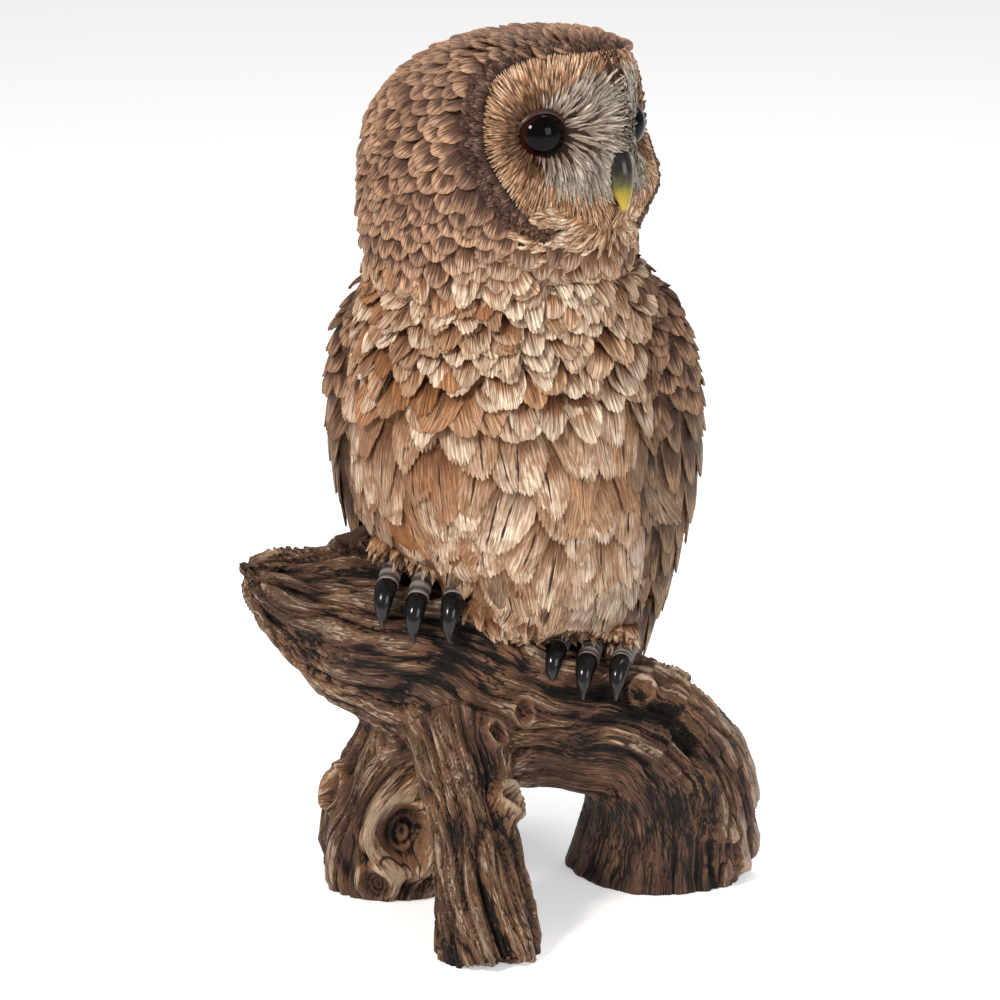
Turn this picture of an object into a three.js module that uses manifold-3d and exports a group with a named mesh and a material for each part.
// Tawny owl garden statue: a hand-painted cast-resin owl, its head turned to its left, perched on a
// cast driftwood stump with an arch. Millimetres, +Z up. The owl's body faces -Y, and the stump's
// three feet stand flat on z = 0. The casting is parted along its named parts by thin cuts.

import * as THREE from 'three';
import { mergeVertices } from 'three/addons/utils/BufferGeometryUtils.js';
import Module from 'manifold-3d';

const wasm = await Module();
wasm.setup();

// ---------- driving dimensions ----------

const GAP = 0.3; // paint line left between neighbouring pieces
const FRAME_SHIFT = [2, 12.8, 0]; // brings the middle of the outer box onto the Z axis

const HEAD = {
  centre: [3.1, 6, 320],
  yawDeg: 60, // turned from straight ahead (-Y) towards the owl's left (+X)
  rollDeg: 4, // the owl's left side sits lower
  crown: 54,
  back: 65,
  side: 62,
  front: 68,
  jaw: 70,
  rings: 9, // of the face, and again of the skull
  spokes: 28,
};

const FACE = {
  middleUp: 16, // the discs' centre above the head's centre
  halfWidth: 54,
  halfHeight: 37,
  squareness: 3, // of the face's outline
  bridge: 65, // how far the bridge of the bill stands forward of the head's centre
  bridgeUp: 10,
  archDrop: 0.0065, // how fast the bridge falls back above and below
  moonSide: 14, // half width of the blunt middle, where the pale bristle fans stand
  moonSlope: 0.2,
  chinSlope: 0.45, // of the discs beyond the bristle fans, low down and higher up
  sideSlope: 0.8,
  slopeFrom: -10,
  slopeTo: 15,
  hollowDepth: 8, // round each eye
  hollowRadius: 15,
  dishDepth: 3, // over each whole disc
  dishRadius: 31,
};

const EYE = { side: 25.6, up: 18, forward: 38.6, radius: 11 };

// The bill's centre lines in the head's frame: forward, up and radius.
const UPPER_BILL = [
  [56, 18, 3.5],
  [58.5, 11, 5.6],
  [60.5, 3, 6.4],
  [62, -4, 4.8],
  [63.6, -9, 2.7],
  [63.8, -13, 0.9],
];
const LOWER_BILL = [
  [49, -7, 4.4],
  [55, -8.5, 3.8],
  [60, -12.5, 1.5],
];

// The body's sections: height, middle x and y, half width, depth ahead and behind.
const BODY = [
  { z: 112, x: 1, y: -2, w: 22, ahead: 5, behind: 5 },
  { z: 124, x: 1, y: 0, w: 34, ahead: 9, behind: 9 },
  { z: 129, x: 1, y: 3, w: 48, ahead: 20, behind: 18 },
  { z: 134, x: 1, y: 4, w: 56, ahead: 29, behind: 26 },
  { z: 140, x: 1, y: 6, w: 59, ahead: 38, behind: 33 },
  { z: 152, x: 1, y: 8, w: 62, ahead: 53, behind: 44 },
  { z: 175, x: 1, y: 10, w: 66, ahead: 66, behind: 58 },
  { z: 205, x: 1, y: 10, w: 68, ahead: 69, behind: 66 },
  { z: 235, x: 1, y: 10, w: 66.5, ahead: 64, behind: 66 },
  { z: 256, x: 2, y: 8, w: 65, ahead: 58, behind: 62 },
  { z: 275, x: 3, y: 6, w: 60, ahead: 55, behind: 59 },
  { z: 300, x: 3, y: 6, w: 48, ahead: 44, behind: 46 },
];
const HEM = { slope: -0.4, flatBefore: -30, from: 135, to: 190 }; // follows the log's slope
const APRON = { at: [12, -31, 132], half: [26, 9, 13] }; // belly feathers between the feet

const NECK = { top: 274, bottom: 255 };
const LEG = { top: 160, slope: -0.3, split: 9 }; // the parting above both legs, and between them

const WING = {
  shoulder: 266,
  tip: 74,
  hangBelow: 168, // below this height the wing hangs clear of the body
  inward: 6, // how deep the plate reaches into the body before it is cut back
  stations: [
    { u: 0, front: 88, back: 112, thick: 5 },
    { u: 0.08, front: 76, back: 142, thick: 12 },
    { u: 0.25, front: 78, back: 162, thick: 18 },
    { u: 0.5, front: 84, back: 172, thick: 20 },
    { u: 0.7, front: 98, back: 171, thick: 15 },
    { u: 0.86, front: 110, back: 164, thick: 9 },
    { u: 1, front: 126, back: 152, thick: 3 },
  ],
  lean: 0.08, // the hanging end leans in by this much for each millimetre down
};

const TAIL = { top: 190, bottom: 60, halfWidth: 36, thick: 6, rootY: 60, tipY: 84, curl: 5 };

// The driftwood's centre lines, with the radius at each station.
const PERCH = [
  { at: [-106, -20, 139], r: 6 },
  { at: [-94, -18, 133], r: 15 },
  { at: [-77, -16, 122], r: 25 },
  { at: [-52, -12, 111], r: 33 },
  { at: [-22, -9, 103], r: 37 },
  { at: [10, -8, 85], r: 34.5 },
  { at: [38, -6, 76], r: 33 },
  { at: [60, 0, 68], r: 34 },
  { at: [70, 17, 36], r: 38 },
  { at: [62, 33, -12], r: 41 },
];
const FRONT_LEG = [
  { at: [-14, -20, 94], r: 18 },
  { at: [-8, -50, 66], r: 20 },
  { at: [4, -73, 34], r: 20 },
  { at: [14, -92, -6], r: 22 },
];
const REAR_LEG = [
  { at: [-26, -4, 92], r: 20 },
  { at: [-35, -12, 62], r: 23 },
  { at: [-45, -14, 36], r: 29 },
  { at: [-46, -14, 14], r: 30 },
  { at: [-45, -10, -8], r: 29 },
];
const LOG_CUTS = { limb: -46, elbow: 48 }; // x of the two partings across the main log
const STUB = [
  { at: [-57, -2, 126], r: 12 },
  { at: [-63, -6, 152], r: 7 },
]; // broken stub behind the owl's right foot
const KNOTS = {
  log_leg_rear: [
    { at: [-30, -38, 46], out: [0.05, -1, 0.15], r: 12, rise: 7 },
    { at: [-68, -26, 42], out: [-1, -0.4, 0.1], r: 8, rise: 7 },
    { at: [-42, -40, 9], out: [0.1, -1, 0], r: 9, rise: 5 },
  ],
  log_leg_front: [{ at: [10, -50, 60], out: [0.9, -0.5, 0.1], r: 7.5, rise: 7 }],
};

// Where each toe lies along the log, from the owl's right to its left.
const FEET = {
  right: { toes: [-42, -28, -13], toDeg: 56 },
  left: { toes: [29, 43, 57], toDeg: 70 },
};
const TOE = { radius: 4.8, fromDeg: 96, reachMore: 5, overlap: 0.6, slope: -0.15 };
const WEB = { half: [15, 6, 4], back: 2 }; // joins the toes under the feathers
const CLAW = { radii: [4.2, 4.3, 3.4, 2, 0.6], spanDeg: 30, lift: [4.2, 6.4, 6.6, 4.6, 1.4] };

const COLOURS = {
  head: 0x8a6850,
  neck: 0x9a765a,
  breast: 0xb08a66,
  wing: 0x7a5c47,
  tail: 0x5e432d,
  leg: 0xb89470,
  toe: 0x8c827a,
  claw: 0x1c1b1e,
  bill: 0x6b6226,
  eye: 0x120c0a,
  wood: 0x5f4736,
};

// ---------- small helpers ----------

const rad = THREE.MathUtils.degToRad;
const { lerp, smoothstep, clamp } = THREE.MathUtils;

/** Interpolates all the fields of a list of stations smoothly, where `key` rises to `value`. */
function between(stations, key, value) {
  const last = stations.length - 1;
  const found = stations.findIndex((station) => station[key] >= value);
  const i = found < 0 ? last : Math.max(found, 1);
  const from = stations[i - 1];
  const to = stations[i];
  const span = to[key] - from[key];
  const t = clamp((value - from[key]) / span, 0, 1);
  const slope = (a, b, field) => ((b[field] - a[field]) / (b[key] - a[key])) * span;
  const result = {};
  for (const field of Object.keys(from)) {
    const startSlope = slope(stations[Math.max(i - 2, 0)], to, field);
    const endSlope = slope(from, stations[Math.min(i + 1, last)], field);
    result[field] =
      from[field] * (2 * t ** 3 - 3 * t ** 2 + 1) +
      startSlope * (t ** 3 - 2 * t ** 2 + t) +
      to[field] * (3 * t ** 2 - 2 * t ** 3) +
      endSlope * (t ** 3 - t ** 2);
  }
  return result;
}

/** Moves every vertex of a geometry to the point that `place` returns for it. */
function deform(geometry, place) {
  const shaped = geometry.clone();
  shaped.deleteAttribute('normal');
  shaped.deleteAttribute('uv');
  const position = shaped.attributes.position;
  const vertex = new THREE.Vector3();
  for (let i = 0; i < position.count; i += 1) {
    vertex.fromBufferAttribute(position, i);
    position.setXYZ(i, ...place(vertex));
  }
  return mergeVertices(shaped, 1e-3);
}

function toSolid(geometry) {
  return new wasm.Manifold(
    new wasm.Mesh({
      numProp: 3,
      vertProperties: new Float32Array(geometry.attributes.position.array),
      triVerts: new Uint32Array(geometry.index.array),
    }),
  );
}

function toGeometry(solid) {
  const mesh = solid.getMesh();
  const geometry = new THREE.BufferGeometry();
  geometry.setAttribute('position', new THREE.BufferAttribute(mesh.vertProperties, 3));
  geometry.setIndex(new THREE.BufferAttribute(mesh.triVerts, 1));
  return geometry;
}

/** The largest body of a solid, its vertices welded, without the slivers that a cut may leave. */
function mainBody(solid) {
  const welded = toSolid(deform(toGeometry(solid), (v) => v.toArray()));
  return welded.decompose().reduce((a, b) => (a.volume() > b.volume() ? a : b));
}

/** A block that fills everything beyond a plane, to cut with. */
function beyond(normal, point) {
  const size = 900;
  const block = new THREE.BoxGeometry(size, size, size);
  block.translate(0, 0, size / 2);
  const facing = new THREE.Vector3(...normal).normalize();
  block.applyQuaternion(
    new THREE.Quaternion().setFromUnitVectors(new THREE.Vector3(0, 0, 1), facing),
  );
  block.translate(...point);
  return toSolid(deform(block, (v) => v.toArray()));
}

/** Parts a solid at a plane: the piece behind the plane, and the piece beyond it, GAP apart. */
function part(solid, normal, point) {
  const step = new THREE.Vector3(...normal).normalize().multiplyScalar(GAP);
  const farther = new THREE.Vector3(...point).add(step).toArray();
  return {
    behind: solid.subtract(beyond(normal, point)),
    ahead: solid.intersect(beyond(normal, farther)),
  };
}

function ball(centre, half, grow = 0) {
  const sphere = new THREE.SphereGeometry(1, 10, 8);
  const place = (v) => [0, 1, 2].map((i) => centre[i] + v.getComponent(i) * (half[i] + grow));
  return toSolid(deform(sphere, place));
}

// Which way a limb's sections face: no limb may run along its own choice.
const LENGTHWISE = new THREE.Vector3(0, 1, 0.02);
const SIDEWAYS = new THREE.Vector3(1, 0, 0);

/** A tapered limb swept along stations, with an optional lumpy skin and a splintered start. */
function limb(stations, { sides = 14, steps = 10, grow = 0, lump = 0, jag = 0, across = LENGTHWISE } = {}) {
  const curve = new THREE.CatmullRomCurve3(stations.map((s) => new THREE.Vector3(...s.at)));
  const cylinder = new THREE.CylinderGeometry(1, 1, 1, sides, steps);
  return toSolid(
    deform(cylinder, (v) => {
      const t = v.y + 0.5;
      const reach = t * (stations.length - 1);
      const i = Math.min(Math.floor(reach), stations.length - 2);
      const radius = lerp(stations[i].r, stations[i + 1].r, smoothstep(reach - i, 0, 1));
      const angle = Math.atan2(v.z, v.x);
      const onRim = Math.hypot(v.x, v.z) > 0.5 ? 1 : 0;
      const wave = Math.sin(3 * angle + 6 * t) + 0.6 * Math.sin(5 * angle - 10 * t + 1.3);
      const r = onRim * (radius + grow + lump * wave);
      const splinter = onRim * jag * Math.sin(4 * angle + 0.7) * (1 - smoothstep(t, 0, 0.16));
      const endward = t === 0 ? -grow : t === 1 ? grow : 0;
      const tangent = curve.getTangent(t);
      const side = new THREE.Vector3().crossVectors(tangent, across).normalize();
      const front = new THREE.Vector3().crossVectors(side, tangent);
      return curve
        .getPoint(t)
        .addScaledVector(front, r * Math.cos(angle))
        .addScaledVector(side, -r * Math.sin(angle))
        .addScaledVector(tangent, endward - splinter)
        .toArray();
    }),
  );
}

// ---------- head ----------

/** The head's own frame: x forward through the bill, y to the owl's left, z up. */
function headFrame() {
  const yaw = rad(HEAD.yawDeg);
  const roll = rad(HEAD.rollDeg);
  const forward = new THREE.Vector3(Math.sin(yaw), -Math.cos(yaw), 0);
  const level = new THREE.Vector3(Math.cos(yaw), Math.sin(yaw), 0);
  const up = new THREE.Vector3(0, 0, Math.cos(roll)).addScaledVector(level, Math.sin(roll));
  const left = new THREE.Vector3().crossVectors(up, forward);
  return new THREE.Matrix4().makeBasis(forward, left, up).setPosition(...HEAD.centre);
}

const HEAD_FRAME = headFrame();

function fromHead(forward, left, up) {
  return new THREE.Vector3(forward, left, up).applyMatrix4(HEAD_FRAME).toArray();
}

/** A round bowl's depth at a distance from its middle. */
function bowl(depth, radius, distance) {
  return depth * Math.max(0, 1 - (distance / radius) ** 2) ** 1.5;
}

/** How far the face stands forward at a place to the side (y) and up (z). */
function faceDepth(y, z) {
  const side = Math.abs(y);
  const bridge = FACE.bridge - FACE.archDrop * (z - FACE.bridgeUp) ** 2;
  const height = smoothstep(z, FACE.slopeFrom, FACE.slopeTo);
  const outer = lerp(FACE.chinSlope, FACE.sideSlope, height);
  const fall = FACE.moonSlope * Math.min(side, FACE.moonSide);
  const fallOutside = outer * Math.max(0, side - FACE.moonSide);
  const fromEye = Math.hypot(side - EYE.side, z - EYE.up);
  const hollow = bowl(FACE.hollowDepth, FACE.hollowRadius, fromEye);
  return bridge - fall - fallOutside - hollow - bowl(FACE.dishDepth, FACE.dishRadius, fromEye);
}

/** Distance from the head's centre to the skull along a unit direction. */
function skullReach(d) {
  const level = Math.hypot(d.x / (d.x > 0 ? HEAD.front : HEAD.back), d.y / HEAD.side);
  const height = Math.abs(d.z) / (d.z > 0 ? HEAD.crown : HEAD.jaw);
  const dome = 2 + 1.2 * Math.max(0, d.x);
  const power = d.z > 0 ? dome : 4; // domed above, straight-sided below
  return (level ** power + height ** power) ** (-1 / power);
}

/** The head's surface: t runs over the face from 0 to 0.5, then over the skull to 1 at the nape. */
function headPoint(t, angle) {
  const inner = Math.min(2 * t, 1);
  const power = 2 / FACE.squareness;
  const y = FACE.halfWidth * Math.sign(Math.sin(angle)) * Math.abs(Math.sin(angle)) ** power * inner;
  const rise = Math.sign(Math.cos(angle)) * Math.abs(Math.cos(angle)) ** power;
  const z = FACE.middleUp + FACE.halfHeight * rise * inner;
  const onFace = new THREE.Vector3(faceDepth(y, z), y, z);
  if (t <= 0.5) return onFace;
  const s = 2 * t - 1;
  const rimReach = onFace.length();
  const rim = onFace.divideScalar(rimReach);
  const polar = lerp(Math.acos(rim.x), Math.PI, s);
  const turn = Math.atan2(rim.y, rim.z);
  const d = new THREE.Vector3(
    Math.cos(polar),
    Math.sin(polar) * Math.sin(turn),
    Math.sin(polar) * Math.cos(turn),
  );
  const spill = (rimReach - skullReach(rim)) * (1 - smoothstep(s, 0, 0.5));
  return d.multiplyScalar(skullReach(d) + spill);
}

function headSolid() {
  const sphere = new THREE.SphereGeometry(1, HEAD.spokes, 2 * HEAD.rings);
  const head = deform(sphere, (v) => {
    const t = Math.acos(clamp(v.y, -1, 1)) / Math.PI;
    return headPoint(t, Math.atan2(v.z, v.x)).toArray();
  });
  return toSolid(head.applyMatrix4(HEAD_FRAME));
}

function eyeball(side, grow = 0) {
  const half = EYE.radius + grow;
  return ball(fromHead(EYE.forward, side * EYE.side, EYE.up), [half, half, half]);
}

function billHalf(profile, grow = 0) {
  const stations = profile.map(([forward, up, r]) => ({ at: fromHead(forward, 0, up), r }));
  return limb(stations, { sides: 10, steps: 7, grow });
}

// ---------- body, wings and tail ----------

/** A point on the body at a height and an angle round it: 0 ahead, 90 degrees to its left. */
function bodyPoint(z, angle, grow = 0) {
  const s = between(BODY, 'z', z);
  const depth = Math.cos(angle) > 0 ? s.ahead : s.behind;
  const x = s.x + (s.w + grow) * Math.sin(angle);
  const y = s.y - (depth + grow) * Math.cos(angle);
  const follow = HEM.slope * (1 - smoothstep(z, HEM.from, HEM.to));
  return [x, y, z + follow * Math.max(x, HEM.flatBefore)];
}

function bodySolid(grow = 0) {
  const cylinder = new THREE.CylinderGeometry(1, 1, 1, 24, 14);
  const top = BODY[BODY.length - 1].z;
  const bottom = BODY[0].z;
  const body = toSolid(
    deform(cylinder, (v) => {
      const z = lerp(bottom - grow, top, v.y + 0.5);
      if (Math.hypot(v.x, v.z) < 0.5) return [0, 5, z];
      return bodyPoint(z, Math.atan2(v.x, v.z), grow);
    }),
  );
  return body.add(ball(APRON.at, APRON.half, grow));
}

/** A folded wing: a plate laid round the body's side, thick in the middle and thin at its edges. */
function wingSolid(side, grow = 0) {
  const plate = new THREE.BoxGeometry(1, 1, 1, 6, 8, 1);
  return toSolid(
    deform(plate, (v) => {
      const u = 0.5 - v.y;
      const s = between(WING.stations, 'u', u);
      const z = lerp(WING.shoulder + grow, WING.tip - grow, u);
      const widen = (grow / 60) * Math.sign(v.x);
      const angle = side * rad(lerp(s.front, s.back, 0.5 + side * v.x)) + widen;
      const [x, y] = bodyPoint(Math.max(z, WING.hangBelow), angle);
      const crown = Math.sqrt(1 - 0.85 * (2 * v.x) ** 2);
      const outward = v.z > 0 ? s.thick * crown + grow : -WING.inward - grow;
      const reach = outward - WING.lean * Math.max(0, WING.hangBelow - z);
      return [x + reach * Math.sin(angle), y - reach * Math.cos(angle), z];
    }),
  );
}

function tailSolid() {
  const blade = new THREE.BoxGeometry(1, 1, 1, 6, 8, 1);
  return toSolid(
    deform(blade, (v) => {
      const u = 0.5 - v.y;
      const round = 1 - 0.25 * smoothstep(u, 0.8, 1) * (2 * v.x) ** 2;
      const x = BODY[0].x + 2 * v.x * TAIL.halfWidth * lerp(0.85, 1, u);
      const z = lerp(TAIL.top, TAIL.bottom, u * round);
      const y = lerp(TAIL.rootY, TAIL.tipY, u) - TAIL.curl * (2 * v.x) ** 2 - v.z * TAIL.thick;
      return [x, y, z];
    }),
  );
}

// ---------- feet ----------

/** The main log's centre and radius under the middle of a foot. */
function logUnder(places) {
  const stations = PERCH.slice(0, 8).map((s) => ({ x: s.at[0], y: s.at[1], z: s.at[2], r: s.r }));
  return { ...between(stations, 'x', places[1]), x: places[1] };
}

/** Stations round the log at one toe, from one angle above the horizontal to another. */
function roundLog(log, x, fromDeg, toDeg, radii, lifts) {
  const drop = TOE.slope * (x - log.x);
  return radii.map((r, i) => {
    const angle = rad(lerp(fromDeg, toDeg, i / (radii.length - 1)));
    const reach = log.r + lifts[i];
    return { at: [x, log.y - reach * Math.cos(angle), log.z + drop + reach * Math.sin(angle)], r };
  });
}

/** The middle toe reaches a little further round the log than its neighbours. */
function toeEndDeg(log, x) {
  return log.toDeg - (x === log.x ? TOE.reachMore : 0);
}

function toeSolid(log, x, grow) {
  const radii = [0.8, 1, 1, 0.95].map((share) => share * TOE.radius);
  const lifts = radii.map(() => TOE.radius + TOE.overlap);
  const path = roundLog(log, x, TOE.fromDeg, toeEndDeg(log, x), radii, lifts);
  return limb(path, { sides: 7, steps: 3, grow, across: SIDEWAYS });
}

function footSolid(log, places, grow = 0) {
  const web = ball([log.x, log.y - WEB.back, log.z + log.r + TOE.radius], WEB.half, grow);
  return places.reduce((foot, x) => foot.add(toeSolid(log, x, grow)), web);
}

function clawSolid(log, x, grow = 0) {
  const from = toeEndDeg(log, x) + 2;
  const path = roundLog(log, x, from, from - CLAW.spanDeg, CLAW.radii, CLAW.lift);
  return limb(path, { sides: 8, steps: 5, grow, across: SIDEWAYS });
}

// ---------- driftwood ----------

function knotSolid({ at, out, r, rise }) {
  const start = new THREE.Vector3(...at);
  const facing = new THREE.Vector3(...out).normalize();
  const stations = [-r, 0, rise].map((d, i) => ({
    at: start.clone().addScaledVector(facing, d).toArray(),
    r: [r * 1.2, r * 1.1, r * 0.8][i],
  }));
  return limb(stations, { sides: 8, steps: 2 });
}

function withKnots(solid, name) {
  return (KNOTS[name] ?? []).reduce((whole, knot) => whole.add(knotSolid(knot)), solid);
}

// ---------- the pieces ----------

function makePieces() {
  const above = [0, 0, 1];
  const level = beyond([0, 0, -1], [0, 0, 0]);

  const logOptions = { sides: 14, steps: 17, lump: 1.1, jag: 5 };
  const legOptions = { sides: 12, steps: 7, lump: 1 };
  const log = limb(PERCH, logOptions).subtract(level);
  const logRoom = limb(PERCH, { ...logOptions, grow: GAP });
  const rearRoom = limb(REAR_LEG, { ...legOptions, grow: GAP });
  const frontLeg = withKnots(limb(FRONT_LEG, legOptions), 'log_leg_front');
  const frontRoom = withKnots(limb(FRONT_LEG, { ...legOptions, grow: GAP }), 'log_leg_front');
  const rearLeg = withKnots(limb(REAR_LEG, legOptions), 'log_leg_rear');
  const first = part(log, [1, 0, 0], [LOG_CUTS.limb, 0, 0]);
  const second = part(first.ahead, [1, 0, -0.35], [LOG_CUTS.elbow, 0, 88]);
  const stub = limb(STUB, { sides: 8, steps: 3, lump: 0.8 });

  const wholeBody = bodySolid().subtract(logRoom);
  const bodyRoom = bodySolid(GAP);
  const upper = part(wholeBody, above, [0, 0, NECK.bottom]);
  const lower = part(upper.behind, [-LEG.slope, 0, 1], [0, 0, LEG.top]);
  const split = part(lower.behind, [1, 0, 0], [LEG.split, 0, 0]);
  const legs = { right: split.behind, left: split.ahead };
  const head = headSolid().subtract(beyond([0, 0, -1], [0, 0, NECK.top + GAP]));

  const pieces = {
    head: ['head', cutHead(head)],
    eye_left: ['eye', eyeball(1)],
    eye_right: ['eye', eyeball(-1)],
    bill_upper: ['bill', billHalf(UPPER_BILL)],
    bill_lower: ['bill', billHalf(LOWER_BILL).subtract(billHalf(UPPER_BILL, GAP))],
    neck: ['neck', upper.ahead.subtract(beyond(above, [0, 0, NECK.top]))],
    trunk: ['breast', lower.ahead],
  };

  let wingsRoom;
  for (const [name, side] of Object.entries({ wing_left: 1, wing_right: -1 })) {
    const clear = wingSolid(side).subtract(bodyRoom).subtract(logRoom);
    pieces[name] = ['wing', clear];
    const room = wingSolid(side, GAP);
    wingsRoom = wingsRoom ? wingsRoom.add(room) : room;
  }
  pieces.tail = ['tail', tailSolid().subtract(bodyRoom).subtract(wingsRoom)];

  for (const [side, { toes: places, toDeg }] of Object.entries(FEET)) {
    const log = { ...logUnder(places), toDeg };
    let foot = footSolid(log, places).subtract(logRoom);
    places.forEach((x, i) => {
      const claw = clawSolid(log, x).subtract(logRoom).subtract(bodyRoom);
      pieces[`claw_${side}_${i + 1}`] = ['claw', claw];
      foot = foot.subtract(clawSolid(log, x, GAP));
    });
    pieces[`foot_${side}`] = ['toe', foot];
    const leg = legs[side].subtract(footSolid(log, places, GAP));
    pieces[`leg_${side}`] = ['leg', leg];
  }

  pieces.log_perch = ['wood', second.behind];
  pieces.log_arch = ['wood', second.ahead];
  pieces.log_limb = ['wood', first.behind.add(stub).subtract(bodyRoom).subtract(wingsRoom)];
  pieces.log_leg_rear = ['wood', rearLeg.subtract(level).subtract(logRoom).subtract(frontRoom)];
  pieces.log_leg_front = ['wood', frontLeg.subtract(level).subtract(logRoom)];
  return pieces;
}

/** Makes room in the head for the eyes and the bill. */
function cutHead(head) {
  const rooms = [eyeball(1, GAP), eyeball(-1, GAP)];
  rooms.push(billHalf(UPPER_BILL, GAP), billHalf(LOWER_BILL, GAP));
  return rooms.reduce((solid, room) => solid.subtract(room), head);
}

const owl = new THREE.Group();
owl.position.set(...FRAME_SHIFT);
for (const [name, [finish, solid]] of Object.entries(makePieces())) {
  const material = new THREE.MeshStandardMaterial({
    color: COLOURS[finish],
    roughness: finish === 'eye' || finish === 'claw' ? 0.15 : 0.65,
    metalness: 0,
  });
  const mesh = new THREE.Mesh(toGeometry(mainBody(solid)), material);
  mesh.name = name;
  owl.add(mesh);
}

export default owl;
